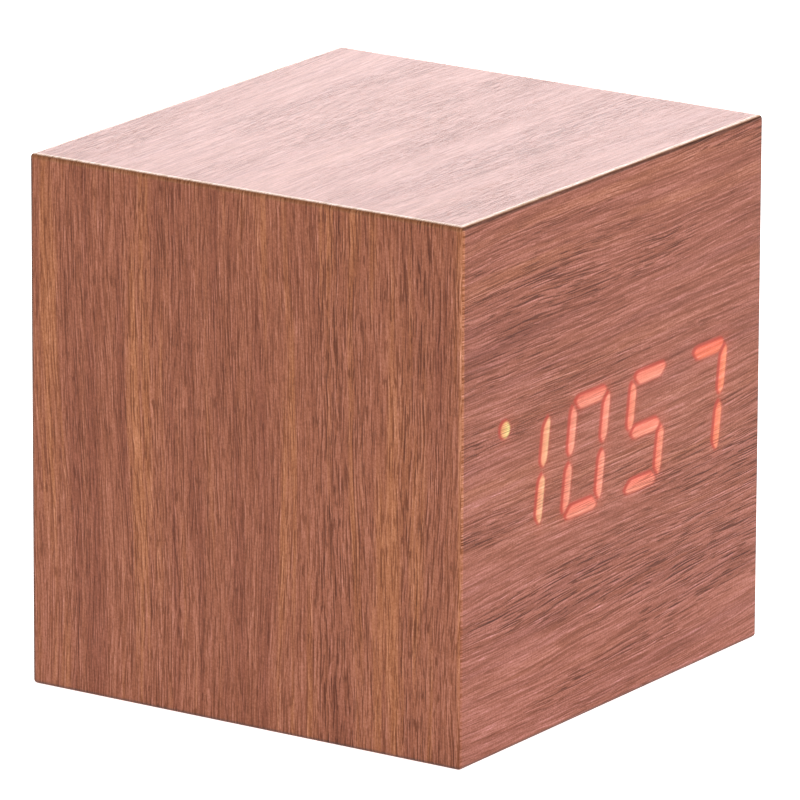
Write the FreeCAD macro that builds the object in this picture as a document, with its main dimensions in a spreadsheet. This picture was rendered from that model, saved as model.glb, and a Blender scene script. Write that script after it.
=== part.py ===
import FreeCAD, Part
import os
import re
import Sketcher

# Cube-shaped alarm clock in veneered board, with an LED display behind the front veneer.
# Millimetres. X is the width, -Y the front, +Z up; the origin is the centre of the underside.

Vec = FreeCAD.Vector
Turn = FreeCAD.Rotation
doc = FreeCAD.newDocument("alarm_clock")

# ---------------------------------------------------------------- dimensions

DIMS = {
    # case
    "case_w": 64.0,
    "case_d": 60.0,
    "case_h": 64.0,
    "arris": 0.5,
    "veneer": 0.6,
    "wall": 4.4,
    "front_board": 3.0,
    "block": 6.3,
    # display
    "display_x": 0.45,
    "display_z": 31.65,
    "display_w": 50.3,
    "display_h": 19.0,
    "display_deep": 8.0,
    "window_gap": 0.5,
    "skin_gap": 0.05,
    "digit_pitch": 12.7,
    "slant": 8.8,
    "seg_u": 3.5,
    "seg_v": 6.35,
    "seg_bar": 0.8,
    "seg_post": 0.72,
    "seg_gap": 0.24,
    "seg_deep": 1.4,
    "dot_u": 23.45,
    "dot_v": 6.67,
    "dot_rad": 0.98,
    "substrate": 1.0,
    "pin_rad": 0.25,
    "pin_pitch": 2.54,
    "pin_row": 7.62,
    # main board
    "board": 1.6,
    "main_w": 52.0,
    "main_low": 11.0,
    "main_high": 55.0,
    "main_hole_x": 23.4,
    "main_hole_in": 3.0,
    # rear cover
    "cover_gap": 0.2,
    "cover_out": 28.5,
    "cover_t": 2.0,
    "cover_hole": 1.3,
    "screw_rad": 1.05,
    "head_rad": 2.0,
    "head_deep": 0.9,
    "bay_x": 24.0,
    "bay_low": 12.2,
    "bay_high": 44.7,
    "bay_floor": 15.0,
    "bay_wall": 1.0,
    # battery door
    "door_gap": 0.15,
    "door_deep": 1.6,
    "door_t": 1.4,
    "hook_x": 14.0,
    "hook_w": 5.0,
    # cells
    "cell_len": 44.5,
    "cell_rad": 5.1,
    "jacket": 0.15,
    "cell_pitch": 10.8,
    "nub_rad": 1.9,
    "nub_len": 1.0,
    "plate_t": 0.4,
    # controls on the rear board
    "control_y": 20.0,
    "control_z": 52.3,
    "button_first": 3.4,
    "button_pitch": 7.0,
    "button_rad": 2.3,
    "button_gap": 0.15,
    "button_out": 29.4,
    "flange_rad": 2.95,
    "flange_t": 0.7,
    "tact_w": 6.0,
    "tact_h": 3.3,
    "plunger_rad": 1.7,
    "fit_gap": 0.05,
    "edge_break": 0.2,
    "mark_t": 0.18,
    "switch_x": -5.0,
    "lever_w": 1.9,
    "lever_h": 1.4,
    "lever_travel": 2.0,
    "usb_x": -15.0,
    "usb_w": 7.5,
    "usb_h": 2.7,
    "usb_t": 0.3,
}

sheet = doc.addObject("Spreadsheet::Sheet", "dims")
for row, (alias, value) in enumerate(DIMS.items(), start=1):
    sheet.set("A%d" % row, alias)
    sheet.set("B%d" % row, str(value))
    sheet.setAlias("B%d" % row, alias)
doc.recompute()

# ---------------------------------------------------------------- helpers

FRONT = "-case_d/2"
DISPLAY_FRONT = "-case_d/2 + veneer + skin_gap"
DISPLAY_BACK = "-case_d/2 + veneer + skin_gap + display_deep"
MAIN_BACK = "-case_d/2 + veneer + skin_gap + display_deep + board"
CONTROL_TOP = "control_y + board"
COVER_IN = "cover_out - cover_t"

SPIN = {
    "x": Turn(Vec(0, 1, 0), 90),
    "y": Turn(Vec(1, 0, 0), -90),
    "z": Turn(),
}
NODES = []


def formula(text):
    """Point every dimension name in a formula at the sheet."""
    return re.sub(r"[a-z_]+", lambda m: "dims." + m.group(0) if m.group(0) in DIMS else m.group(0), str(text))


def bind(obj, prop, text):
    obj.setExpression(prop, formula(text))


def node(obj, name):
    """Keep an object as one named piece of the clock."""
    obj.Label = name
    NODES.append(obj)
    return obj


def box(name, x, y, z):
    """A block; x, y and z are each a pair of formulas, low and high."""
    obj = doc.addObject("Part::Box", name)
    for prop, axis, (low, high) in (("Length", "x", x), ("Width", "y", y), ("Height", "z", z)):
        bind(obj, prop, "(%s) - (%s)" % (high, low))
        bind(obj, "Placement.Base." + axis, low)
    return obj


def mid_box(name, x, z, w, h, y):
    """A block centred at x, z that is w wide and h high, between the two depths in y."""
    x_pair = ("(%s) - (%s)/2" % (x, w), "(%s) + (%s)/2" % (x, w))
    z_pair = ("(%s) - (%s)/2" % (z, h), "(%s) + (%s)/2" % (z, h))
    return box(name, x_pair, y, z_pair)


def rod(name, axis, at, radius, low, high):
    """A round bar along an axis from low to high; at gives the other two coordinates in X, Y, Z order."""
    obj = doc.addObject("Part::Cylinder", name)
    obj.Placement = FreeCAD.Placement(Vec(), SPIN[axis])
    bind(obj, "Radius", radius)
    bind(obj, "Height", "(%s) - (%s)" % (high, low))
    others = [a for a in "xyz" if a != axis]
    bind(obj, "Placement.Base." + axis, low)
    bind(obj, "Placement.Base." + others[0], at[0])
    bind(obj, "Placement.Base." + others[1], at[1])
    return obj


def group(name, members):
    obj = doc.addObject("Part::Compound", name)
    obj.Links = members
    return obj


def join(name, members):
    obj = doc.addObject("Part::MultiFuse", name)
    obj.Shapes = members
    return obj


def cut(name, base, tools):
    obj = doc.addObject("Part::Cut", name)
    obj.Base = base
    obj.Tool = tools[0] if len(tools) == 1 else join(name + "_tools", tools)
    return obj


def depth(text):
    """The value of a formula of plain dimension names joined by + and -."""
    total = 0.0
    for sign, word in re.findall(r"([+-]?)\s*([a-z_0-9.]+)", text):
        amount = sheet.get(word) if word in DIMS else float(word)
        total += -amount if sign == "-" else amount
    return total


def body(name):
    obj = doc.addObject("PartDesign::Body", name)
    return node(obj, name)


def sketch(owner, name, plane, offset):
    """A sketch on one of the body's own planes, moved along the plane's normal."""
    obj = owner.newObject("Sketcher::SketchObject", name)
    face = [f for f in owner.Origin.OriginFeatures if f.Role == plane][0]
    obj.AttachmentSupport = [(face, "")]
    obj.MapMode = "FlatFace"
    bind(obj, "AttachmentOffset.Base.z", offset)
    return obj


def outline(obj, points):
    """A closed outline through points given as pairs of formulas."""
    first = obj.GeometryCount
    count = len(points)
    for i in range(count):
        start = Vec(i, i * i, 0)
        end = Vec((i + 1) % count, ((i + 1) % count) ** 2, 0)
        obj.addGeometry(Part.LineSegment(start, end), False)
    for i in range(count):
        obj.addConstraint(Sketcher.Constraint("Coincident", first + i, 2, first + (i + 1) % count, 1))
    for i, (across, up) in enumerate(points):
        for kind, value in (("DistanceX", across), ("DistanceY", up)):
            index = obj.addConstraint(Sketcher.Constraint(kind, -1, 1, first + i, 1, 1.0 + i))
            bind(obj, "Constraints[%d]" % index, value)


def rectangle(obj, x, z, w, h):
    """A rectangle centred at x, z."""
    x_low, x_high = "(%s) - (%s)/2" % (x, w), "(%s) + (%s)/2" % (x, w)
    z_low, z_high = "(%s) - (%s)/2" % (z, h), "(%s) + (%s)/2" % (z, h)
    outline(obj, [(x_low, z_low), (x_high, z_low), (x_high, z_high), (x_low, z_high)])


def circle(obj, x, z, radius):
    index = obj.addGeometry(Part.Circle(Vec(1, 1, 0), Vec(0, 0, 1), 1.0), False)
    for kind, value in (("DistanceX", x), ("DistanceY", z)):
        number = obj.addConstraint(Sketcher.Constraint(kind, -1, 1, index, 3, 1.0))
        bind(obj, "Constraints[%d]" % number, value)
    number = obj.addConstraint(Sketcher.Constraint("Radius", index, 1.0))
    bind(obj, "Constraints[%d]" % number, radius)


def pad(owner, profile, length):
    """Add material from an XZ sketch towards the front."""
    obj = owner.newObject("PartDesign::Pad", profile.Name + "_pad")
    obj.Profile = profile
    bind(obj, "Length", length)
    profile.Visibility = False
    return obj


def pocket(owner, profile, length):
    """Remove material from an XZ sketch towards the front, and check that some is removed."""
    doc.recompute()
    before = owner.Shape.Volume
    obj = owner.newObject("PartDesign::Pocket", profile.Name + "_pocket")
    obj.Profile = profile
    obj.Reversed = True
    bind(obj, "Length", length)
    doc.recompute()
    if owner.Shape.Volume >= before - 1e-6:
        raise RuntimeError(profile.Name + " removes nothing")
    return obj


def plate(owner, name, y_rear, x, z, w, h, length):
    """A rectangular pad whose rear face is at y_rear."""
    profile = sketch(owner, name, "XZ_Plane", "-(%s)" % y_rear)
    rectangle(profile, x, z, w, h)
    return pad(owner, profile, length)


def window(owner, name, y_rear, x, z, w, h, length):
    """A rectangular pocket that starts at y_rear and goes towards the front."""
    profile = sketch(owner, name, "XZ_Plane", "-(%s)" % y_rear)
    rectangle(profile, x, z, w, h)
    return pocket(owner, profile, length)


def holes(owner, name, y_rear, centres, radius, length):
    """Round pockets that start at y_rear and go towards the front."""
    profile = sketch(owner, name, "XZ_Plane", "-(%s)" % y_rear)
    for x, z in centres:
        circle(profile, x, z, radius)
    return pocket(owner, profile, length)


def soften(owner, name, level, size):
    """Break the edges of the body's largest rear-facing face at the depth level."""
    doc.recompute()
    tip = owner.Tip
    flats = [f for f in tip.Shape.Faces if f.normalAt(0, 0).y > 0.99 and abs(f.CenterOfMass.y - level) < 1e-6]
    flat = max(flats, key=lambda f: f.Area)
    picked = ["Edge%d" % (i + 1) for i, e in enumerate(tip.Shape.Edges) if any(e.isSame(o) for o in flat.Edges)]
    obj = owner.newObject("PartDesign::Chamfer", name)
    obj.Base = (tip, picked)
    bind(obj, "Size", size)
    return obj


def lathe(name, y_zero, x, z, profile_points):
    """A turned piece about a line along Y; the profile is radius and depth from y_zero."""
    owner = body(name)
    profile = sketch(owner, name + "_profile", "XY_Plane", "0")
    outline(profile, profile_points)
    turned = owner.newObject("PartDesign::Revolution", name + "_turned")
    turned.Profile = profile
    turned.ReferenceAxis = (profile, ["V_Axis"])
    turned.Angle = 360
    bind(owner, "Placement.Base.x", x)
    bind(owner, "Placement.Base.y", y_zero)
    bind(owner, "Placement.Base.z", z)
    return owner


def wire(name, points, radius, bend):
    """A round wire along straight runs that meet square, with a tangent arc at each corner."""
    edges = []
    start = points[0]
    for before, corner, after in zip(points, points[1:], points[2:]):
        towards = (before - corner).normalize()
        away = (after - corner).normalize()
        arc_in = corner + towards * bend
        arc_out = corner + away * bend
        centre = corner + (towards + away) * bend
        middle = centre + (corner - centre).normalize() * bend
        edges.append(Part.makeLine(start, arc_in))
        edges.append(Part.Arc(arc_in, middle, arc_out).toShape())
        start = arc_out
    edges.append(Part.makeLine(start, points[-1]))
    spine = Part.Wire(edges)
    first = (points[1] - points[0]).normalize()
    profile = Part.Wire([Part.makeCircle(radius, points[0], first)])
    return spine.makePipeShell([profile], True, True)


# ---------------------------------------------------------------- wooden case

blank_block = box("case_blank_block", ("-case_w/2", "case_w/2"), (FRONT, "case_d/2"), ("0", "case_h"))
doc.recompute()
blank = doc.addObject("Part::Fillet", "case_blank")
blank.Base = blank_block
blank.Edges = [(i, DIMS["arris"], DIMS["arris"]) for i in range(1, 13)]


def panel(name, side, out, thick, lap):
    """A mitred panel of the case; out is how deep its outer face lies, lap its mitre at the front."""
    obj = doc.addObject("Part::Wedge", name)
    deep_low = "-case_d/2 + %s" % out
    deep_high = "case_d/2 - %s" % out
    across = {"left": "case_h", "right": "case_h", "top": "case_w", "bottom": "case_w"}[side]
    values = {}
    if side in ("left", "right"):
        spin = Turn(Vec(0, 0, 1), -90 if side == "left" else 90)
        values["Ymin"] = "-case_w/2 + %s" % out
        values["Zmin"] = out
        values["Zmax"] = "%s - %s" % (across, out)
        values["Z2min"] = "%s + %s" % (out, thick)
        values["Z2max"] = "%s - %s - %s" % (across, out, thick)
        along = "X"
        front_low = side == "right"
    else:
        spin = Turn(Vec(1, 0, 0), -90 if side == "top" else 90)
        values["Ymin"] = "-case_h + %s" % out if side == "top" else out
        values["Xmin"] = "-%s/2 + %s" % (across, out)
        values["Xmax"] = "%s/2 - %s" % (across, out)
        values["X2min"] = "-%s/2 + %s + %s" % (across, out, thick)
        values["X2max"] = "%s/2 - %s - %s" % (across, out, thick)
        along = "Z"
        front_low = side == "top"
    values["Ymax"] = "%s + %s" % (values["Ymin"], thick)
    values[along + "min"] = deep_low if front_low else FRONT
    values[along + "max"] = "case_d/2" if front_low else deep_high
    values[along + "2min"] = "%s + %s" % (deep_low, lap) if front_low else FRONT
    values[along + "2max"] = "case_d/2" if front_low else "%s - %s" % (deep_high, lap)
    obj.Placement = FreeCAD.Placement(Vec(), spin)
    for prop, value in values.items():
        bind(obj, prop, value)
    return obj


def rounded(name, blank_panel):
    """The panel with the case's rounded arrises."""
    obj = doc.addObject("Part::Common", name)
    obj.Base = blank_panel
    obj.Tool = blank
    return node(obj, name)


front_sheet = doc.addObject("Part::Wedge", "veneer_front_sheet")
for prop, value in {
    "Xmin": "-case_w/2", "Xmax": "case_w/2", "X2min": "-case_w/2 + veneer", "X2max": "case_w/2 - veneer",
    "Zmin": "0", "Zmax": "case_h", "Z2min": "veneer", "Z2max": "case_h - veneer",
    "Ymin": FRONT, "Ymax": FRONT + " + veneer",
}.items():
    bind(front_sheet, prop, value)
rounded("veneer_front", front_sheet)

for side in ("top", "bottom", "left", "right"):
    rounded("veneer_" + side, panel("veneer_%s_sheet" % side, side, "0", "veneer", "veneer"))
    node(panel("board_" + side, side, "veneer", "(wall - veneer)", "0"), "board_" + side)

front = body("board_front")
plate(front, "board_front_outline", "-case_d/2 + veneer + front_board", "0", "case_h/2",
      "case_w - 2*wall - 2*fit_gap", "case_h - 2*wall - 2*fit_gap", "front_board")
window(front, "board_front_window", "-case_d/2 + veneer + front_board", "display_x", "display_z",
       "display_w + 2*window_gap", "display_h + 2*window_gap", "front_board")
MAIN_HOLES = [(x, z) for x in ("-main_hole_x", "main_hole_x")
              for z in ("main_low + main_hole_in", "main_high - main_hole_in")]
holes(front, "board_front_holes", "-case_d/2 + veneer + front_board", MAIN_HOLES, "screw_rad", "2.2")

CORNERS = [(x, z) for x in ("-case_w/2 + wall + block/2 + fit_gap", "case_w/2 - wall - block/2 - fit_gap")
           for z in ("wall + block/2 + fit_gap", "case_h - wall - block/2 - fit_gap")]
blocks = []
for number, (x, z) in enumerate(CORNERS):
    solid = mid_box("corner_block_%d" % number, x, z, "block", "block", ("14", COVER_IN + " - fit_gap"))
    bore = rod("corner_bore_%d" % number, "y", (x, z), "screw_rad", "18", COVER_IN)
    blocks.append(cut("corner_block_bored_%d" % number, solid, [bore]))
node(group("corner_blocks", blocks), "corner_blocks")

# ---------------------------------------------------------------- rear cover and its screws

cover = body("rear_cover")
plate(cover, "cover_plate", "cover_out", "0", "case_h/2", "case_w - 2*wall - 2*cover_gap",
      "case_h - 2*wall - 2*cover_gap", "cover_t")
BAY_MID = "(bay_low + bay_high)/2"
BAY_W = "2*bay_x"
BAY_H = "bay_high - bay_low"
plate(cover, "cover_bay", "cover_out - cover_t", "0", BAY_MID, BAY_W + " + 2*bay_wall", BAY_H + " + 2*bay_wall",
      "cover_out - cover_t - bay_floor + bay_wall")
plate(cover, "cover_post_one", "cover_out - cover_t", "6.9", "57.1", "3.4", "3.4", "cover_out - cover_t - control_y - board")
plate(cover, "cover_post_two", "cover_out - cover_t", "-10.3", "57.1", "3.4", "3.4",
      "cover_out - cover_t - control_y - board")
window(cover, "bay_hollow", "cover_out", "0", BAY_MID, BAY_W, BAY_H, "cover_out - bay_floor")
window(cover, "door_seat", "cover_out", "0", BAY_MID, BAY_W + " + 2*bay_wall", BAY_H + " + 2*bay_wall", "door_deep")
hook_slots = sketch(cover, "hook_slots", "XZ_Plane", "-(cover_out - door_deep)")
for x in ("-hook_x", "hook_x"):
    rectangle(hook_slots, x, "bay_low - 0.9", "hook_w + 0.6", "2.4")
pocket(cover, hook_slots, "1.6")
window(cover, "thumb_notch", "cover_out", "0", "bay_high + bay_wall + 0.7", "9", "1.8", "1.5")
holes(cover, "button_holes", "cover_out",
      [("button_first + %d*button_pitch" % i, "control_z") for i in range(3)], "button_rad + button_gap", "cover_t")
window(cover, "lever_slot", "cover_out", "switch_x", "control_z", "lever_w + lever_travel + 0.4",
       "lever_h + 0.4", "cover_t")
window(cover, "usb_opening", "cover_out", "usb_x", "control_z", "usb_w + 0.8", "usb_h + 0.8", "cover_t")
holes(cover, "cover_screw_holes", "cover_out", CORNERS, "cover_hole", "cover_t")
holes(cover, "cover_head_seats", "cover_out", CORNERS, "head_rad + 0.25", "head_deep")
holes(cover, "sound_hole", "cover_out", [("-13.5", "48.7")], "0.6", "cover_t")
vents = sketch(cover, "vent_slots", "XZ_Plane", "-cover_out")
for number in range(7):
    rectangle(vents, "-12 + 4*%d" % number, "8.1", "1.2", "3.4")
pocket(cover, vents, "cover_t")
lead_slits = sketch(cover, "lead_slits", "XZ_Plane", "-bay_floor")
for x in ("-bay_x + plate_t/2 + 0.05", "bay_x - plate_t/2 - 0.05"):
    rectangle(lead_slits, x, "bay_low + 27", "0.6", "2.2")
pocket(cover, lead_slits, "bay_wall")
post_holes = sketch(cover, "post_holes", "XZ_Plane", "-(control_y + board + 3)")
for x in ("6.9", "-10.3"):
    circle(post_holes, x, "57.1", "0.9")
pocket(cover, post_holes, "3")

# Raised marks over the three buttons: a square to set, a triangle up and a triangle down.
MARK_Z = "control_z + 4.6"
marks = sketch(cover, "button_marks", "XZ_Plane", "-(cover_out + mark_t)")
rectangle(marks, "button_first + 2*button_pitch", MARK_Z, "1.2", "1.2")
for number, point_up in ((0, -1), (1, 1)):
    x = "button_first + %d*button_pitch" % number
    outline(marks, [("%s - 0.8" % x, "%s - (%d)*0.6" % (MARK_Z, point_up)),
                    ("%s + 0.8" % x, "%s - (%d)*0.6" % (MARK_Z, point_up)),
                    (x, "%s + (%d)*0.7" % (MARK_Z, point_up))])
pad(cover, marks, "mark_t + 0.1")


def screw(name, axis_x, axis_z, seat_y, length, facing, radius, head):
    """A pan-head screw; facing is 1 when its head looks to the rear and -1 when it looks to the front."""
    def span(low, high):
        ends = ["(%s) + (%d)*(%s)" % (seat_y, facing, v) for v in (low, high)]
        return ends if facing > 0 else ends[::-1]
    shank = rod(name + "_shank", "y", (axis_x, axis_z), radius, *span("-(%s)" % length, "0.1"))
    crown = rod(name + "_crown", "y", (axis_x, axis_z), head, *span("0", "0.8"))
    low, high = span("0.35", "0.9")
    bar_one = mid_box(name + "_recess_a", axis_x, axis_z, "0.4", "(%s)*1.3" % head, (low, high))
    bar_two = mid_box(name + "_recess_b", axis_x, axis_z, "(%s)*1.3" % head, "0.4", (low, high))
    return cut(name, join(name + "_solid", [shank, crown]), [bar_one, bar_two])


node(group("cover_screws", [
    screw("cover_screw_%d" % i, x, z, "cover_out - head_deep", "7.5", 1, "screw_rad - 0.02", "head_rad")
    for i, (x, z) in enumerate(CORNERS)]), "cover_screws")

# ---------------------------------------------------------------- battery door (its hooks sit under the cover's lip)

door = body("battery_door")
plate(door, "door_plate", "cover_out - door_deep + 0.05 + door_t", "0", BAY_MID,
      BAY_W + " + 2*bay_wall - 2*door_gap", BAY_H + " + 2*bay_wall - 2*door_gap", "door_t")
for side_name, x in (("left", "-hook_x"), ("right", "hook_x")):
    plate(door, "door_hook_root_" + side_name, "cover_out - door_deep + 0.05", x, "bay_low - bay_wall + door_gap + 0.6",
          "hook_w", "1.2", "0.95")
    plate(door, "door_hook_tip_" + side_name, "cover_out - door_deep - 0.1", x, "bay_low - bay_wall - 0.1",
          "hook_w", "1.4", "0.8")
plate(door, "door_thumb_tab", "cover_out - door_deep + 0.05 + door_t", "0", "bay_high + bay_wall + 0.3", "6", "1.2",
      "1.2")
soften(door, "door_edge_break", depth("cover_out - door_deep + 0.05 + door_t"), "edge_break")
door_ribs = sketch(door, "door_grip_ribs", "XZ_Plane", "-(cover_out - door_deep + 0.05 + door_t + 0.3)")
for number in range(5):
    rectangle(door_ribs, "0", "bay_high - 3.2 - %d*1.4" % number, "9", "0.6")
pad(door, door_ribs, "0.35")

# ---------------------------------------------------------------- cells and battery contacts

CELLS = [("cell_lower", 0, 1), ("cell_middle", 1, -1), ("cell_upper", 2, 1)]
CELL_Y = "bay_floor + 0.2 + cell_rad + jacket"
CELL_Z = "bay_low + 0.2 + cell_rad + jacket + %d*cell_pitch"
TIP = "bay_x - plate_t - 0.1"
jackets = []
plates = []
for name, level, facing in CELLS:
    z = CELL_Z % level
    owner = body(name)
    profile = sketch(owner, name + "_profile", "XY_Plane", "0")
    tip = "(%s)" % TIP
    outline(profile, [
        (tip, "0"), (tip, "nub_rad"), (tip + " - nub_len", "nub_rad"), (tip + " - nub_len", "cell_rad - 1.2"),
        (tip + " - nub_len - 0.4", "cell_rad"), (tip + " - cell_len + 0.4", "cell_rad"),
        (tip + " - cell_len", "cell_rad - 0.4"), (tip + " - cell_len", "0"),
    ])
    turned = owner.newObject("PartDesign::Revolution", name + "_turned")
    turned.Profile = profile
    turned.ReferenceAxis = (profile, ["H_Axis"])
    turned.Angle = 360
    owner.Placement = FreeCAD.Placement(Vec(), Turn(Vec(0, 0, 1), 0 if facing > 0 else 180))
    bind(owner, "Placement.Base.y", CELL_Y)
    bind(owner, "Placement.Base.z", z)
    ends = [tip + " - cell_len + 0.6", tip + " - nub_len - 0.6"]
    if facing < 0:
        ends = ["-(%s)" % v for v in ends[::-1]]
    outer = rod(name + "_jacket_outer", "x", (CELL_Y, z), "cell_rad + jacket", *ends)
    inner = rod(name + "_jacket_inner", "x", (CELL_Y, z), "cell_rad", *ends)
    jackets.append(cut(name + "_jacket", outer, [inner]))
node(group("cell_jackets", jackets), "cell_jackets")

PLATE_Y = ("bay_floor + 0.1", "bay_floor + 10.3")
for number, (x_low, x_high, level, tall) in enumerate([
        ("bay_x - plate_t - 0.02", "bay_x - 0.02", "0.5", "2"), ("bay_x - plate_t - 0.02", "bay_x - 0.02", "2", "1"),
        ("-bay_x + 0.02", "-bay_x + plate_t + 0.02", "1.5", "2"), ("-bay_x + 0.02", "-bay_x + plate_t + 0.02", "0", "1")]):
    mid = "bay_low + 0.2 + cell_rad + jacket + %s*cell_pitch" % level
    half = "(%s*cell_pitch - 2.6)/2" % tall
    sheet_metal = box("contact_plate_%d" % number, (x_low, x_high), PLATE_Y,
                      ("%s - %s" % (mid, half), "%s + %s" % (mid, half)))
    plates.append(sheet_metal)
TAG_Z = "bay_low + 27"
tags = [box("contact_tag_right", ("bay_x - plate_t - 0.02", "bay_x - 0.02"), ("bay_floor - 3", "bay_floor + 1"),
            (TAG_Z + " - 0.9", TAG_Z + " + 0.9")),
        box("contact_tag_left", ("-bay_x + 0.02", "-bay_x + plate_t + 0.02"), ("bay_floor - 3", "bay_floor + 1"),
            (TAG_Z + " - 0.9", TAG_Z + " + 0.9"))]
node(group("contact_plates", [plates[0], join("contact_plate_right", [plates[1], tags[0]]),
                              join("contact_plate_left", [plates[2], tags[1]]), plates[3]]), "contact_plates")


def coil(x_base, x_tip, y, z, facing):
    """A cone-shaped contact spring from its plate to the cell."""
    length = abs(x_tip - x_base)
    helix = Part.makeHelix(length / 2.6, length, 3.4, -30)
    edge = helix.Edges[0]
    start = edge.valueAt(edge.FirstParameter)
    profile = Part.Wire([Part.makeCircle(0.26, start, edge.tangentAt(edge.FirstParameter))])
    shape = Part.Wire(helix.Edges).makePipeShell([profile], True, True)
    shape.Placement = FreeCAD.Placement(Vec(x_base, y, z), Turn(Vec(0, 1, 0), 90 * facing))
    return shape


plate_face = depth("bay_x - plate_t - 0.02") - 0.3
cell_end = depth("bay_x - plate_t - 0.1 - cell_len") - 0.35
cell_y = depth("bay_floor + 0.2 + cell_rad + jacket")
cell_z = depth("bay_low + 0.2 + cell_rad + jacket")
springs = Part.makeCompound([
    coil(-plate_face, cell_end, cell_y, cell_z, 1),
    coil(plate_face, -cell_end, cell_y, cell_z + sheet.cell_pitch, -1),
    coil(-plate_face, cell_end, cell_y, cell_z + 2 * sheet.cell_pitch, 1),
])
contact_springs = doc.addObject("Part::Feature", "contact_springs")
contact_springs.Shape = springs
node(contact_springs, "contact_springs")

# ---------------------------------------------------------------- rear control board and its parts

control = body("control_board")
plate(control, "control_outline", CONTROL_TOP, "0", "52.8", "41", "12.4", "board")
holes(control, "control_holes", CONTROL_TOP, [("6.9", "57.1"), ("-10.3", "57.1")], "1.0", "board")

node(group("control_board_screws", [
    screw("control_screw_%d" % i, x, "57.1", "control_y", "4", -1, "0.85", "1.6")
    for i, x in enumerate(("6.9", "-10.3"))]), "control_board_screws")

housings = []
lids = []
for number in range(3):
    x = "button_first + %d*button_pitch" % number
    shell = mid_box("tact_shell_%d" % number, x, "control_z", "tact_w", "tact_w",
                    (CONTROL_TOP, CONTROL_TOP + " + tact_h"))
    well = rod("tact_well_%d" % number, "y", (x, "control_z"), "plunger_rad + fit_gap", CONTROL_TOP + " + 0.6",
               CONTROL_TOP + " + tact_h")
    housings.append(cut("tact_housing_%d" % number, shell, [well]))
    lid = mid_box("tact_lid_%d" % number, x, "control_z", "tact_w", "tact_w",
                  (CONTROL_TOP + " + tact_h", CONTROL_TOP + " + tact_h + 0.2"))
    eye = rod("tact_eye_%d" % number, "y", (x, "control_z"), "plunger_rad + fit_gap", CONTROL_TOP + " + tact_h",
              CONTROL_TOP + " + tact_h + 0.2")
    lids.append(cut("tact_plate_%d" % number, lid, [eye]))
node(group("tact_housings", housings), "tact_housings")
node(group("tact_plates", lids), "tact_plates")

FLANGE_TOP = "cover_out - cover_t - 0.02"
for number, word in enumerate(("down", "up", "set")):
    x = "button_first + %d*button_pitch" % number
    flange = "(%s)" % FLANGE_TOP
    lathe(word + "_button", "0", x, "control_z", [
        ("0", flange + " - flange_t"), ("flange_rad", flange + " - flange_t"), ("flange_rad", flange),
        ("button_rad", flange), ("button_rad", "button_out - 0.3"), ("button_rad - 0.3", "button_out"),
        ("0", "button_out - 0.15")])
    node(rod(word + "_plunger", "y", (x, "control_z"), "plunger_rad", CONTROL_TOP + " + 1.3",
             flange + " - flange_t"), word + "_plunger")

SWITCH_TOP = CONTROL_TOP + " + 4.3"
frame_shell = mid_box("switch_shell", "switch_x", "control_z", "8.6", "4.4", (CONTROL_TOP + " + 0.4", SWITCH_TOP))
frame_room = mid_box("switch_room", "switch_x", "control_z", "8.0", "3.8", (CONTROL_TOP + " + 0.4", SWITCH_TOP + " - 0.4"))
frame_slot = mid_box("switch_slot", "switch_x", "control_z", "lever_w + lever_travel + 0.2", "lever_h + 0.1",
                     (SWITCH_TOP + " - 0.5", SWITCH_TOP))
node(cut("switch_frame", frame_shell, [frame_room, frame_slot]), "switch_frame")
node(mid_box("switch_base", "switch_x", "control_z", "7.9", "3.7", (CONTROL_TOP, CONTROL_TOP + " + 1.2")), "switch_base")
carrier = mid_box("lever_carrier", "switch_x - lever_travel/2", "control_z", "4.6", "3.7",
                  (CONTROL_TOP + " + 1.25", SWITCH_TOP + " - 0.45"))
stem = mid_box("lever_stem", "switch_x - lever_travel/2", "control_z", "lever_w", "lever_h",
               (CONTROL_TOP + " + 1.25", "button_out"))
node(join("switch_lever", [carrier, stem]), "switch_lever")

USB_TOP = "cover_out - 0.5"
usb_outer = mid_box("usb_outer", "usb_x", "control_z", "usb_w", "usb_h", (CONTROL_TOP, USB_TOP))
usb_inner = mid_box("usb_inner", "usb_x", "control_z", "usb_w - 2*usb_t", "usb_h - 2*usb_t", (CONTROL_TOP, USB_TOP))
node(cut("usb_shell", usb_outer, [usb_inner]), "usb_shell")
usb_core = mid_box("usb_core", "usb_x", "control_z", "usb_w - 2*usb_t - 0.04", "usb_h - 2*usb_t - 0.04",
                   (CONTROL_TOP, CONTROL_TOP + " + 1.6"))
usb_blade = mid_box("usb_blade", "usb_x", "control_z + 0.3", "4.6", "0.6", (CONTROL_TOP + " + 1", USB_TOP + " - 0.6"))
node(join("usb_tongue", [usb_core, usb_blade]), "usb_tongue")
node(group("usb_contacts", [
    mid_box("usb_contact_%d" % i, "usb_x + (%d)*0.65" % (i - 2), "control_z - 0.07", "0.35", "0.12",
            (CONTROL_TOP + " + 1.7", USB_TOP + " - 0.9"))
    for i in range(5)]), "usb_contacts")

node(rod("microphone", "y", ("-13.5", "48.7"), "2.0", CONTROL_TOP, CONTROL_TOP + " + 1.6"), "microphone")
node(join("thermistor", [
    rod("thermistor_bead", "y", ("-17.5", "48.6"), "1.1", CONTROL_TOP + " + 2", CONTROL_TOP + " + 3.6"),
    rod("thermistor_leg_a", "y", ("-18.1", "48.6"), "0.2", CONTROL_TOP, CONTROL_TOP + " + 2.4"),
    rod("thermistor_leg_b", "y", ("-16.9", "48.6"), "0.2", CONTROL_TOP, CONTROL_TOP + " + 2.4")]), "thermistor")

# ---------------------------------------------------------------- display


def digit_point(digit, across, up):
    """A point of a slanted digit; digits count from 0 at the left."""
    x = "display_x + (%s)*digit_pitch + (%s) + (%s)*tan(slant*1deg)" % (digit - 1.5, across, up)
    return x, "display_z + (%s)" % up


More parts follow.
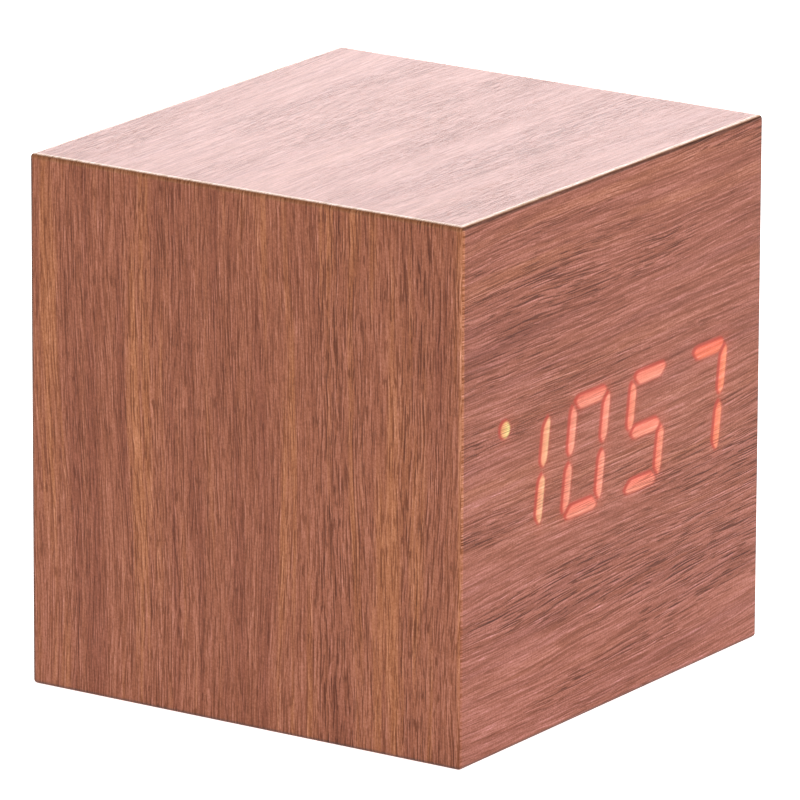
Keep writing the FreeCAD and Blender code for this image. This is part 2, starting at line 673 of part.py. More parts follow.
def bar(digit, level):
    """A level segment; level is 1 at the top, 0 in the middle and -1 at the bottom."""
    end = "seg_u - seg_gap"
    points = [("-(%s)" % end, "0"), ("-(%s) + seg_bar" % end, "-seg_bar"), (end + " - seg_bar", "-seg_bar"),
              (end, "0"), (end + " - seg_bar", "seg_bar"), ("-(%s) + seg_bar" % end, "seg_bar")]
    return [digit_point(digit, u, "(%d)*seg_v + (%s)" % (level, v)) for u, v in points]


def post(digit, side, level):
    """An upright segment; side is -1 or 1, level 1 above the middle and -1 below it."""
    points = [("0", "seg_gap"), ("seg_post", "seg_gap + seg_post"), ("seg_post", "seg_v - seg_gap - seg_post"),
              ("0", "seg_v - seg_gap"), ("-seg_post", "seg_v - seg_gap - seg_post"),
              ("-seg_post", "seg_gap + seg_post")]
    return [digit_point(digit, "(%d)*seg_u + (%s)" % (side, u), "(%d)*(%s)" % (level, v)) for u, v in points]


SEGMENTS = {
    "a": lambda digit: bar(digit, 1),
    "b": lambda digit: post(digit, 1, 1),
    "c": lambda digit: post(digit, 1, -1),
    "d": lambda digit: bar(digit, -1),
    "e": lambda digit: post(digit, -1, -1),
    "f": lambda digit: post(digit, -1, 1),
    "g": lambda digit: bar(digit, 0),
}
LIT = ["bc", "abcdef", "acdfg", "abc"]
COLON = [("display_x + (%d)*2.9*tan(slant*1deg)" % s, "display_z + (%d)*2.9" % s) for s in (-1, 1)]
DOT = ("display_x - dot_u", "display_z + dot_v")
FRONT_SPAN = (DISPLAY_FRONT, DISPLAY_FRONT + " + seg_deep")

housing = body("display_housing")
HOUSING_BACK = DISPLAY_BACK + " - substrate"
plate(housing, "housing_outline", HOUSING_BACK, "display_x", "display_z", "display_w", "display_h",
      "display_deep - substrate")
wells = sketch(housing, "housing_wells", "XZ_Plane", "-(%s)" % HOUSING_BACK)
for letter in SEGMENTS:
    outline(wells, SEGMENTS[letter](0))
well_pocket = pocket(housing, wells, "display_deep - substrate")
doc.recompute()
pattern = housing.newObject("PartDesign::LinearPattern", "housing_digits")
pattern.Originals = [well_pocket]
pattern.Direction = (wells, ["H_Axis"])
bind(pattern, "Length", "3*digit_pitch")
pattern.Occurrences = 4
housing.Tip = pattern
holes(housing, "housing_dots", HOUSING_BACK, COLON, "0.85", "display_deep - substrate")
holes(housing, "housing_indicator", HOUSING_BACK, [DOT], "dot_rad", "display_deep - substrate")


def light_pieces(name, letters_by_digit, dots):
    """The clear resin that fills the chosen segment windows, flush with the display's face."""
    owner = body(name)
    for digit, letters in enumerate(letters_by_digit):
        if not letters:
            continue
        profile = sketch(owner, "%s_digit_%d" % (name, digit), "XZ_Plane", "-(%s)" % FRONT_SPAN[1])
        for letter in letters:
            outline(profile, SEGMENTS[letter](digit))
        pad(owner, profile, "seg_deep")
    if dots:
        profile = sketch(owner, name + "_dots", "XZ_Plane", "-(%s)" % FRONT_SPAN[1])
        for x, z in dots:
            circle(profile, x, z, "0.85")
        pad(owner, profile, "seg_deep")
    return owner


light_pieces("segments_lit", LIT, [])
light_pieces("segments_unlit", ["".join(s for s in SEGMENTS if s not in on) for on in LIT], COLON)
node(rod("indicator_dot", "y", DOT, "dot_rad", *FRONT_SPAN), "indicator_dot")

node(mid_box("display_substrate", "display_x", "display_z", "display_w - 0.1", "display_h - 0.1",
             (HOUSING_BACK, DISPLAY_BACK)), "display_substrate")

chips = []
SPOTS = {"a": (0, 1), "b": (1, 0.5), "c": (1, -0.5), "d": (0, -1), "e": (-1, -0.5), "f": (-1, 0.5), "g": (0, 0)}
for digit in range(4):
    for letter, (side, level) in SPOTS.items():
        x, z = digit_point(digit, "(%s)*seg_u" % side, "(%s)*seg_v" % level)
        chips.append(mid_box("led_chip_%d%s" % (digit, letter), x, z, "0.35", "0.35",
                             (HOUSING_BACK + " - 0.25", HOUSING_BACK)))
for number, (x, z) in enumerate(COLON + [DOT]):
    chips.append(mid_box("led_chip_dot_%d" % number, x, z, "0.35", "0.35", (HOUSING_BACK + " - 0.25", HOUSING_BACK)))
node(group("led_chips", chips), "led_chips")

PINS = [("display_x + (%s)*pin_pitch" % (i - 2.5), "display_z + (%d)*pin_row" % s) for i in range(6) for s in (-1, 1)]
node(group("display_pins", [
    rod("display_pin_%d" % i, "y", place, "pin_rad", DISPLAY_BACK, MAIN_BACK + " + 1.2")
    for i, place in enumerate(PINS)]), "display_pins")

# ---------------------------------------------------------------- main board

main = body("main_board")
plate(main, "main_outline", MAIN_BACK, "0", "(main_low + main_high)/2", "main_w", "main_high - main_low", "board")
holes(main, "main_holes", MAIN_BACK, MAIN_HOLES, "1.2", "board")
holes(main, "main_pin_holes", MAIN_BACK, PINS, "pin_rad + 0.1", "board")

BOARD_FRONT_BACK = "-case_d/2 + veneer + front_board"
spacers = []
for number, (x, z) in enumerate(MAIN_HOLES):
    tube = rod("spacer_tube_%d" % number, "y", (x, z), "2.3", BOARD_FRONT_BACK, DISPLAY_BACK)
    bore = rod("spacer_bore_%d" % number, "y", (x, z), "1.2", BOARD_FRONT_BACK, DISPLAY_BACK)
    spacers.append(cut("board_spacer_%d" % number, tube, [bore]))
node(group("board_spacers", spacers), "board_spacers")
node(group("main_board_screws", [
    screw("main_screw_%d" % i, x, z, MAIN_BACK, "8.6", 1, "screw_rad - 0.02", "head_rad")
    for i, (x, z) in enumerate(MAIN_HOLES)]), "main_board_screws")


def packaged_chip(name, x, z, w, h, deep, legs):
    """A chip in a flat package, with its legs along the two long sides."""
    pieces = [mid_box(name + "_case", x, z, w, h, (MAIN_BACK + " + 0.15", MAIN_BACK + " + %s" % deep))]
    for number in range(legs):
        shift = (number - (legs - 1) / 2) * 1.27
        for side in (-1, 1):
            pieces.append(mid_box("%s_leg_%d_%d" % (name, number, side + 1), "(%s) + (%s)" % (x, shift),
                                  "(%s) + (%d)*(%s/2 + 0.5)" % (z, side, h), "0.42", "1.2",
                                  (MAIN_BACK, MAIN_BACK + " + 0.3")))
    return node(join(name, pieces), name)


packaged_chip("controller_chip", "0", "31.8", "17.9", "7.5", "2.5", 14)
packaged_chip("clock_chip", "-17.5", "33.4", "4.9", "3.9", "1.7", 4)
node(join("crystal", [
    rod("crystal_can", "z", ("-17.5", MAIN_BACK + " + 1.25"), "1.05", "39", "45"),
    rod("crystal_leg_a", "z", ("-17.9", MAIN_BACK + " + 1.25"), "0.15", "37", "39.2"),
    rod("crystal_leg_b", "z", ("-17.1", MAIN_BACK + " + 1.25"), "0.15", "37", "39.2")]), "crystal")
buzzer_can = rod("buzzer_can", "y", ("16", "19.4"), "6.0", MAIN_BACK, MAIN_BACK + " + 8.5")
buzzer_mouth = rod("buzzer_mouth", "y", ("16", "19.4"), "1.2", MAIN_BACK + " + 5.5", MAIN_BACK + " + 8.5")
node(cut("buzzer", buzzer_can, [buzzer_mouth]), "buzzer")
node(rod("capacitor", "y", ("-16.5", "18.8"), "3.15", MAIN_BACK, MAIN_BACK + " + 7"), "capacitor")
node(group("chip_resistors", [
    mid_box("chip_resistor_%d" % i, "-8 + %d*2.2" % i, "21.5", "1.2", "2.0", (MAIN_BACK, MAIN_BACK + " + 0.55"))
    for i in range(8)]), "chip_resistors")
holder_block = mid_box("holder_block", "13.2", "47.3", "15.4", "14.6", (MAIN_BACK, MAIN_BACK + " + 3.6"))
holder_well = rod("holder_well", "y", ("13.2", "47.3"), "6.45", MAIN_BACK + " + 0.8", MAIN_BACK + " + 3.6")
node(cut("backup_holder", holder_block, [holder_well]), "backup_holder")
node(rod("backup_cell", "y", ("13.2", "47.3"), "6.25", MAIN_BACK + " + 0.85", MAIN_BACK + " + 2.85"), "backup_cell")

# ---------------------------------------------------------------- wires inside the case

PLUG_Z = "50"
node(group("wire_plugs", [
    mid_box("wire_plug_main", "0", PLUG_Z, "9.4", "4.2", (MAIN_BACK, MAIN_BACK + " + 5")),
    mid_box("wire_plug_control", "0", PLUG_Z, "9.4", "4.2", ("control_y - 5", "control_y"))]), "wire_plugs")


def wires(name, shapes):
    obj = doc.addObject("Part::Feature", name)
    obj.Shape = Part.makeCompound(shapes)
    return node(obj, name)


plug_front = depth("veneer + skin_gap + display_deep + board + 5.02") - sheet.case_d / 2
plug_rear = sheet.control_y - 5.02
LINK = [wire("link", [Vec(x, plug_front, 50), Vec(x, -8, 50), Vec(x, -8, 40), Vec(x, 8, 40), Vec(x, 8, 50),
                      Vec(x, plug_rear, 50)], 0.5, 3) for x in (-3.1, -1.86, -0.62, 0.62, 1.86, 3.1)]
wires("link_wires", LINK)

tag_z = depth("bay_low + 27")
tag_y = depth("bay_floor - 2.9")
for name, side in (("battery_lead_red", 1), ("battery_lead_black", -1)):
    x = side * (sheet.bay_x - 1.1)
    end = side * 12.0
    wires(name, [wire(name, [Vec(x, tag_y + 1.8, tag_z), Vec(x, tag_y - 2.5, tag_z), Vec(x, tag_y - 2.5, 51),
                             Vec(end, tag_y - 2.5, 51), Vec(end, sheet.control_y - 0.02, 51)], 0.55, 1.8)])

# ---------------------------------------------------------------- check and write

doc.recompute()
for obj in doc.Objects:
    if "Invalid" in obj.State or "Error" in obj.State:
        raise RuntimeError("%s is %s" % (obj.Name, obj.State))
os.makedirs("parts", exist_ok=True)
for obj in NODES:
    shape = obj.Shape
    if shape.isNull() or not shape.isValid() or not shape.Solids:
        raise RuntimeError(obj.Label + " has no valid solid")
    shape.exportStep("parts/%s.step" % obj.Label)
print(len(NODES), "pieces written")
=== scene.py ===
import math

import bmesh
import bpy
from mathutils import Matrix, Vector


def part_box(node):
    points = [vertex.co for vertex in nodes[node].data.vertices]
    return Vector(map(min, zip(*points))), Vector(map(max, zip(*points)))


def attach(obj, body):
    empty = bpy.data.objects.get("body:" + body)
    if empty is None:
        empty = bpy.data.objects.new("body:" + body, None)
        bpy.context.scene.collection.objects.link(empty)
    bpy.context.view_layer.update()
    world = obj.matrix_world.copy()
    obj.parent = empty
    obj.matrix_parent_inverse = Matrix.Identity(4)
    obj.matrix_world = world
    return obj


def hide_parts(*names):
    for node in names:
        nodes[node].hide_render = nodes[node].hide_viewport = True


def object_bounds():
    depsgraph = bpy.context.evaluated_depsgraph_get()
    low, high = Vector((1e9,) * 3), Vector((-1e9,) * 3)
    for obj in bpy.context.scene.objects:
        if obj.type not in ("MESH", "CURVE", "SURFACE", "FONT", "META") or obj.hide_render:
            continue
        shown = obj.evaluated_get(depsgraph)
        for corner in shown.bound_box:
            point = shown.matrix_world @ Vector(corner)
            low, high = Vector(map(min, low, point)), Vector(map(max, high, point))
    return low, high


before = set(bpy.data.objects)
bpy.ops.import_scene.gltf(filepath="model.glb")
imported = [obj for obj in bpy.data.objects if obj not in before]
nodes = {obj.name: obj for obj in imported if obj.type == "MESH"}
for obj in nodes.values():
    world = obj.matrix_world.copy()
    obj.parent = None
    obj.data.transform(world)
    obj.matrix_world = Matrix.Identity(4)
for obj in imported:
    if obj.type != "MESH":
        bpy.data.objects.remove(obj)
cad_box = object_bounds()

MM = 0.001

# ---------------------------------------------------------------- sizes, in millimetres

# Half the case's width, half its depth, and its height.
CASE_X, CASE_Y, CASE_Z = (round(size / MM, 3) for size in cad_box[1])
ARRIS = 0.5
VENEER = 0.6

# The display's middle, then what each digit has in common.
DISPLAY_X, DISPLAY_Z = 0.45, 31.65
DIGIT_PITCH = 12.7
SLANT = math.tan(math.radians(8.8))
HALF_WIDTH, HALF_HEIGHT = 3.5, 6.35  # to the middle lines of the outer segments
BAR, POST = 0.8, 0.72  # half the thickness of a level segment and of an upright one
CORNER_GAP, MIDDLE_GAP = 0.08, 0.30  # what a segment's end leaves free at a corner and at mid height
TIP_SHIFT = 0.28  # how far a segment's pointed end is drawn outwards at a corner
ROUNDING = 6.5  # the lower, the rounder the corners
LIT = ("bc", "abcdef", "acdfg", "abc")
# A segment's middle in half widths and half heights from the digit's middle.
SEGMENT_PLACE = {
    "a": (0.0, 1.0), "b": (1.0, 0.5), "c": (1.0, -0.5), "d": (0.0, -1.0),
    "e": (-1.0, -0.5), "f": (-1.0, 0.5), "g": (0.0, 0.0),
}
INDICATOR = (DISPLAY_X - 23.45, DISPLAY_Z + 6.67)
DOT_RADIUS = 1.18  # with what the rounding takes off

# The light that comes through the veneer, from the first digit to the last.
POST_LIGHT = ((0.53, 0.32, 0.165), (0.53, 0.20, 0.135), (0.53, 0.165, 0.100), (0.53, 0.150, 0.070))
BAR_LIGHT = (None, (0.52, 0.165, 0.115), (0.52, 0.165, 0.110), (0.50, 0.085, 0.035))
DOT_LIGHT = (0.52, 0.48, 0.17)
HALO_LIGHT = (0.06, 0.003, 0.0)

# ---------------------------------------------------------------- node helpers


class Nodes:
    """Builds a material's node tree with few words."""

    def __init__(self, name):
        self.material = bpy.data.materials.new(name)
        self.material.use_nodes = True
        self.tree = self.material.node_tree
        self.tree.nodes.clear()
        self.shader = self.add("ShaderNodeBsdfPrincipled")
        output = self.add("ShaderNodeOutputMaterial")
        self.link(self.shader.outputs["BSDF"], output.inputs["Surface"])
        self.place = self.add("ShaderNodeTexCoord").outputs["Object"]

    def add(self, kind, **settings):
        node = self.tree.nodes.new(kind)
        for key, value in settings.items():
            setattr(node, key, value)
        return node

    def link(self, source, target):
        self.tree.links.new(source, target)

    def set(self, target, value):
        if isinstance(value, bpy.types.NodeSocket):
            self.link(value, target)
        else:
            target.default_value = value

    def math(self, operation, a, b=0.0, c=0.0):
        node = self.add("ShaderNodeMath", operation=operation)
        for socket, value in zip(node.inputs, (a, b, c)):
            self.set(socket, value)
        return node.outputs[0]

    def stretch(self, scale, shift=(0.0, 0.0, 0.0)):
        """Object coordinates times a scale per axis, in cycles per millimetre."""
        node = self.add("ShaderNodeMapping")
        self.link(self.place, node.inputs["Vector"])
        node.inputs["Scale"].default_value = [s / MM for s in scale]
        node.inputs["Location"].default_value = shift
        return node.outputs["Vector"]

    def split_mm(self):
        """Object coordinates in millimetres, as separate x, y and z."""
        node = self.add("ShaderNodeSeparateXYZ")
        self.link(self.stretch((1.0, 1.0, 1.0)), node.inputs[0])
        return node.outputs

    def noise(self, vector, detail=2.0, rough=0.5, distortion=0.0):
        node = self.add("ShaderNodeTexNoise")
        self.link(vector, node.inputs["Vector"])
        node.inputs["Scale"].default_value = 1.0
        node.inputs["Detail"].default_value = detail
        node.inputs["Roughness"].default_value = rough
        node.inputs["Distortion"].default_value = distortion
        return node.outputs["Fac"]

    def ramp(self, value, low, high, out_low=0.0, out_high=1.0, smooth=True):
        """out_low where the value is at low, out_high where it is at high, and no further beyond them."""
        node = self.add("ShaderNodeMapRange", interpolation_type="SMOOTHSTEP" if smooth else "LINEAR")
        node.clamp = True
        self.set(node.inputs["Value"], value)
        ends = {"From Min": low, "From Max": high, "To Min": out_low, "To Max": out_high}
        for key, number in ends.items():
            node.inputs[key].default_value = number
        return node.outputs["Result"]

    def mix(self, factor, a, b, blend="MIX"):
        node = self.add("ShaderNodeMix", data_type="RGBA", blend_type=blend)
        self.set(node.inputs["Factor"], factor)
        self.set(node.inputs["A"], rgba(a))
        self.set(node.inputs["B"], rgba(b))
        return next(o for o in node.outputs if o.type == "RGBA")

    def bump(self, height, distance_mm, strength=1.0):
        node = self.add("ShaderNodeBump")
        node.inputs["Strength"].default_value = strength
        node.inputs["Distance"].default_value = distance_mm * MM
        self.link(height, node.inputs["Height"])
        self.link(node.outputs["Normal"], self.shader.inputs["Normal"])


def rgba(value):
    """A plain colour with its alpha; sockets and whole colours stay as they are."""
    return (*value, 1.0) if isinstance(value, tuple) and len(value) == 3 else value


# ---------------------------------------------------------------- walnut

AXES = {"x": 0, "y": 1, "z": 2}
LIP_HIGHLIGHT_MM = 0.15  # how far the painted highlight beside a pore lies to its side
PORE_SHADE, LIP_HIGHLIGHT = 0.58, 0.20  # how far a pore darkens the wood and the painted highlight beside it lightens it
TINT_POWERS = (1.0, 1.4, 2.0)  # red, green and blue: darker wood is also redder
# The digits' red glow around their edges, painted into the wood's colour.
PAINTED_GLOW_RED = (0.36, 0.040, 0.024)


class Grain:
    """Wandering grain lines, and noise drawn out along them. Places are in millimetres."""

    def __init__(self, n, along, across, seed, tilt):
        self.n, self.seed = n, seed
        self.place = n.split_mm()
        self.run, self.side = self.place[AXES[along]], self.place[AXES[across]]
        wave = self.drift(along, 0.012, 0.045, (seed, seed * 2.0, seed * 3.0), 6.0)
        ripple = self.drift(along, 0.11, 0.22, (seed * 2.0, seed, seed), 0.45)
        lean = n.math("MULTIPLY", self.run, tilt)
        self.wander = n.math("ADD", n.math("ADD", wave, ripple), lean)
        self.line = n.math("ADD", self.side, self.wander)

    def drift(self, along, per_mm_along, per_mm_across, shift, size_mm):
        """A slow sideways drift of the lines, up to half of size_mm each way."""
        n = self.n
        scale = [per_mm_along if axis == along else per_mm_across for axis in AXES]
        noise = n.noise(n.stretch(scale, shift), 1.0)
        return n.math("MULTIPLY", n.math("SUBTRACT", noise, 0.5), size_mm)

    def noise(self, per_mm_along, per_mm_across, shift, detail=2.0, rough=0.6, aside=0.0):
        """Noise with so many cycles per millimetre; aside moves it across the grain."""
        n = self.n
        spot = n.add("ShaderNodeCombineXYZ")
        start_along = self.seed * 3.1 + shift
        start_across = self.seed * 1.7 - shift + aside * per_mm_across
        n.link(n.math("MULTIPLY_ADD", self.run, per_mm_along, start_along), spot.inputs[0])
        n.link(n.math("MULTIPLY_ADD", self.line, per_mm_across, start_across), spot.inputs[1])
        spot.inputs[2].default_value = shift * 0.37
        return n.noise(spot.outputs[0], detail, rough)


def band_chart(n, bands, place):
    """Tone and share of pores at a place across the sheet, from (place, tone, share) stops."""
    chart = n.add("ShaderNodeValToRGB")
    chart.color_ramp.interpolation = "EASE"
    first, last = bands[0][0], bands[-1][0]
    stops = chart.color_ramp.elements
    for index, (middle, tone, share) in enumerate(bands):
        if index == 0:
            stop = stops[0]
        elif index == len(bands) - 1:
            stop = stops[-1]
        else:
            stop = stops.new((middle - first) / (last - first))
        stop.color = (tone, share, 0.0, 1.0)
    n.link(n.ramp(place, first, last, smooth=False), chart.inputs[0])
    picked = n.add("ShaderNodeSeparateColor")
    n.link(chart.outputs[0], picked.inputs[0])
    return picked.outputs[0], picked.outputs[1]


def wood_tone(n, grain, bands, calm):
    """How orange the wood is, from 0 for dark over 0.5 for plain to 1, and the share of pores."""
    broad = n.math("SUBTRACT", grain.noise(0.010, 0.16, 1.0), 0.5)
    streaks = n.math("SUBTRACT", grain.noise(0.022, 0.62, 9.0, 3.0), 0.5)
    if bands:
        place = n.math("ADD", grain.side, n.math("MULTIPLY", grain.wander, 0.35))
        tone, share = band_chart(n, bands, place)
        tone = n.math("ADD", tone, broad)
    else:
        tone = n.math("ADD", 0.5, n.math("MULTIPLY", broad, 2.2 * calm))
        share = n.ramp(grain.noise(0.02, 0.11, 27.0), 0.42, 0.62, 0.10, 1.0)
    return n.math("ADD", tone, n.math("MULTIPLY", streaks, 2.0 * calm)), share


def wood_pores(n, grain, share, straight, fine):
    """Dark dashes along the grain, and a painted highlight beside each long one."""
    long_dash = (0.20 / straight, 4.6 * fine, 33.0, 1.0)
    deep = n.ramp(grain.noise(*long_dash), 0.55, 0.64)
    lip_highlight = n.ramp(grain.noise(*long_dash, aside=LIP_HIGHLIGHT_MM), 0.55, 0.64)
    short = n.ramp(grain.noise(0.50 / straight, 5.2 * fine, 41.0, 0.0), 0.61, 0.71)
    short = n.math("MULTIPLY", short, n.math("MULTIPLY_ADD", share, 0.6, 0.25))
    return n.math("MAXIMUM", n.math("MULTIPLY", deep, share), short), lip_highlight


def walnut(name, along, across, seed, tones, pores=1.0, bands=None, tilt=0.0, contrast=1.0, gloss=0.22,
           rough=0.44, straight=1.0, fine=1.0, calm=1.0, painted_top_shade=False, rim=None, glow=False):
    """Satin walnut veneer: along is the grain's axis and across the sheet's other axis.

    tones are (plain, warm, dark) and bands are (place, tone, share of pores) across the sheet.
    pores is the pores' strength. straight draws fibres and pores out, fine narrows the pores, a low calm
    evens the colour out, fade paints shade that darkens the wood towards the top, and rim and glow add
    rim_seams_and_painted_light, with its painted edge highlights and painted edge shade, and shine_through.
    """
    n = Nodes(name)
    grain = Grain(n, along, across, seed, tilt)
    fibres = grain.noise(0.13 / straight, 3.0, 17.0, 3.0, 0.7)
    flecks = grain.noise(0.45, 4.2, 23.0, 1.0)
    speck = n.noise(n.stretch((3.4, 3.4, 3.4)), 2.0, 0.8)
    tone, share = wood_tone(n, grain, bands, calm)
    pore, lip_highlight = wood_pores(n, grain, share, straight, fine)

    plain, warm, dark = tones
    colour = n.mix(n.ramp(tone, 0.50, 0.95), plain, warm)
    colour = n.mix(n.ramp(tone, 0.50, 0.02), colour, dark)
    if rim:
        colour = rim_seams_and_painted_light(n, rim, grain.place, fibres, colour)

    shade = n.math("MULTIPLY", n.ramp(fibres, 0.30, 0.70, 0.68, 1.33, False),
                   n.ramp(speck, 0.28, 0.72, 0.80, 1.22, False))
    shade = n.math("MULTIPLY", shade, n.ramp(flecks, 0.58, 0.78, 1.0, 1.26))
    # Painted highlight: the wood is lighter beside each long pore, as where its edge catches the light.
    shade = n.math("MULTIPLY", shade, n.math("MULTIPLY_ADD", lip_highlight, LIP_HIGHLIGHT * pores, 1.0))
    shade = n.math("MULTIPLY", shade, n.math("SUBTRACT", 1.0, n.math("MULTIPLY", pore, PORE_SHADE * pores)))
    if contrast != 1.0:
        shade = n.math("POWER", shade, contrast)
    # Painted shade: the wood is darker towards the top and lighter near the floor.
    if painted_top_shade:
        shade = n.math("MULTIPLY", shade, n.ramp(grain.place[2], 4.0, 60.0, 1.05, 0.93, False))
    tint = n.add("ShaderNodeCombineColor")
    for socket, power in zip(tint.inputs, TINT_POWERS):
        n.link(n.math("POWER", shade, power), socket)
    colour = n.mix(1.0, colour, tint.outputs[0], "MULTIPLY")
    if glow:
        colour = shine_through(n, colour, fibres, pore)

    n.link(colour, n.shader.inputs["Base Color"])
    n.link(n.ramp(fibres, 0.2, 0.8, rough + 0.06, rough - 0.06, False), n.shader.inputs["Roughness"])
    n.shader.inputs["Specular IOR Level"].default_value = gloss
    n.bump(n.math("SUBTRACT", n.math("MULTIPLY", fibres, 0.4), pore), 0.03, 0.8)
    return n.material


def shine_through(n, colour, fibres, pore):
    """The mesh's glow comes out between the fibres and less in the pores; its red fringe is painted glow."""
    light = n.add("ShaderNodeAttribute", attribute_name="glow").outputs["Color"]
    fringe = n.add("ShaderNodeAttribute", attribute_name="painted_glow_fringe").outputs["Fac"]
    n.link(light, n.shader.inputs["Emission Color"])
    through = n.math("MULTIPLY", n.ramp(fibres, 0.30, 0.70, 0.80, 1.16, False),
                     n.math("SUBTRACT", 1.0, n.math("MULTIPLY", pore, 0.50)))
    n.link(through, n.shader.inputs["Emission Strength"])
    # Painted glow: the wood is reddened around the lit digits.
    return n.mix(fringe, colour, PAINTED_GLOW_RED)


# Colours on the edges: painted highlights, glued seams, and painted shade along the outline.
PAINTED_EDGE_HIGHLIGHT, PAINTED_CORNER_HIGHLIGHT, PAINTED_OUTLINE_SHADE = (0.92, 0.68, 0.54), (0.50, 0.20, 0.095), (0.055, 0.020, 0.012)
TOP_SEAM, SIDE_SEAM, FRONT_SEAM = (0.30, 0.13, 0.06), (0.27, 0.105, 0.042), (0.085, 0.031, 0.018)


def rim_seams_and_painted_light(n, rim, place, fibres, colour):
    """The last half millimetre of a sheet: rim is top, side or front.

    The top has a painted pale highlight on every edge, with a brown seam under it. A side or the front has a
    painted orange highlight down the front's left corner or the side's front corner, less so low down, and
    painted shade on its far and bottom edges.
    """
    x, y, z = place
    below = n.math("SUBTRACT", CASE_Z, z)
    ragged = n.math("MULTIPLY", n.math("SUBTRACT", fibres, 0.5), 0.25)
    if rim == "top":
        from_side = n.math("SUBTRACT", CASE_X, n.math("ABSOLUTE", x))
        from_face = n.math("SUBTRACT", CASE_Y, n.math("ABSOLUTE", y))
        reach = n.math("ADD", n.math("MINIMUM", from_side, from_face), ragged)
        # Painted highlight: a pale line along every edge of the top, with the brown seam under it.
        edge = n.mix(n.ramp(below, 0.03, 0.11), PAINTED_EDGE_HIGHLIGHT, TOP_SEAM)
        return n.mix(n.ramp(reach, 0.80, 0.55, 0.0, 0.88), colour, edge)
    spot, half = (y, CASE_Y) if rim == "side" else (x, CASE_X)
    near = n.math("ADD", n.math("ADD", spot, half), ragged)
    outer = n.math("MINIMUM", n.math("SUBTRACT", half, spot), z)
    # Painted highlight: an orange line down the front's left corner and the sides' front corners, fainter
    # low down.
    corner_highlight = n.math("MULTIPLY", n.ramp(near, 0.58, 0.30, 0.0, 0.55), n.ramp(z, 12.0, 34.0, 0.25, 1.0))
    colour = n.mix(corner_highlight, colour, PAINTED_CORNER_HIGHLIGHT)
    # Painted shade: dark lines along the far edge and the bottom edge.
    colour = n.mix(n.ramp(outer, 0.60, 0.22, 0.0, 0.80), colour, PAINTED_OUTLINE_SHADE)
    if rim == "side":
        return n.mix(n.ramp(below, 0.66, 0.46, 0.0, 0.70), colour, SIDE_SEAM)
    return n.mix(n.ramp(below, 0.54, 0.36, 0.0, 0.78), colour, FRONT_SEAM)


# ---------------------------------------------------------------- other materials

MIDDLE_CELL_Z = 28.45
HALF_CELL_PITCH = 5.4


def fibreboard(name):
    """Pressed fibres with darker chips and slow blotches."""
    n = Nodes(name)
    grains = n.noise(n.stretch((3.0, 3.0, 3.0)), 4.0, 0.7)
    chips = n.noise(n.stretch((0.9, 9.0, 0.9), (4.0, 1.0, 2.0)), 2.0, 0.6)
    blot = n.noise(n.stretch((0.12, 0.12, 0.12), (1.0, 7.0, 3.0)), 2.0)
    colour = n.mix(n.ramp(grains, 0.3, 0.7), (0.125, 0.062, 0.030), (0.235, 0.130, 0.070))
    colour = n.mix(n.ramp(chips, 0.56, 0.7, 0.0, 0.6), colour, (0.060, 0.028, 0.014))
    colour = n.mix(n.ramp(blot, 0.35, 0.65, 0.0, 0.35), colour, (0.17, 0.09, 0.05))
    n.link(colour, n.shader.inputs["Base Color"])
    n.link(n.ramp(grains, 0.2, 0.8, 0.70, 0.92), n.shader.inputs["Roughness"])
    n.bump(n.math("ADD", grains, n.math("MULTIPLY", chips, 0.6)), 0.06, 0.8)
    return n.material


def plastic(name, colour, rough=0.5, texture_mm=0.35, depth_mm=0.015, scuff=0.25, specular=0.3):
    """Moulded plastic with a fine spark texture, faint scuffs and a slow change of colour."""
    n = Nodes(name)
    spark = n.noise(n.stretch((1 / texture_mm,) * 3), 2.0, 0.6)
    slow = n.noise(n.stretch((0.05, 0.05, 0.05), (3.0, 1.0, 4.0)), 2.0)
    marks = n.noise(n.stretch((0.5, 0.5, 6.0), (9.0, 2.0, 5.0)), 3.0, 0.7, 1.5)
    lighter = tuple(min(1.0, c * 1.35 + 0.004) for c in colour)
    darker = tuple(c * 0.82 for c in colour)
    tone = n.mix(n.ramp(slow, 0.3, 0.7), darker, colour)
    tone = n.mix(n.ramp(marks, 0.62, 0.74, 0.0, scuff), tone, lighter)
    n.link(tone, n.shader.inputs["Base Color"])
    wear = n.math("MULTIPLY", n.ramp(marks, 0.60, 0.75), 0.12)
    satin = n.ramp(spark, 0.25, 0.75, rough - 0.06, rough + 0.08, False)
    n.link(n.math("ADD", satin, wear), n.shader.inputs["Roughness"])
    n.shader.inputs["Specular IOR Level"].default_value = specular
    n.bump(spark, depth_mm, 0.8)
    return n.material


def metal(name, colour, rough=0.32, lines=(0.4, 0.4, 7.0)):
    """Plated or brushed metal with fine lines, cloudy tarnish and small pits."""
    n = Nodes(name)
    brush = n.noise(n.stretch(lines), 3.0, 0.65)
    cloud = n.noise(n.stretch((0.35, 0.35, 0.35), (2.0, 8.0, 1.0)), 3.0)
    pits = n.noise(n.stretch((6.0, 6.0, 6.0)), 1.0)
    tone = n.mix(n.ramp(cloud, 0.35, 0.7, 0.0, 0.5), colour, tuple(c * 0.72 for c in colour))
    n.link(tone, n.shader.inputs["Base Color"])
    n.shader.inputs["Metallic"].default_value = 1.0
    n.link(n.ramp(brush, 0.25, 0.75, rough - 0.07, rough + 0.12, False), n.shader.inputs["Roughness"])
    n.bump(n.math("ADD", brush, n.math("MULTIPLY", pits, 0.5)), 0.006, 0.7)
    return n.material


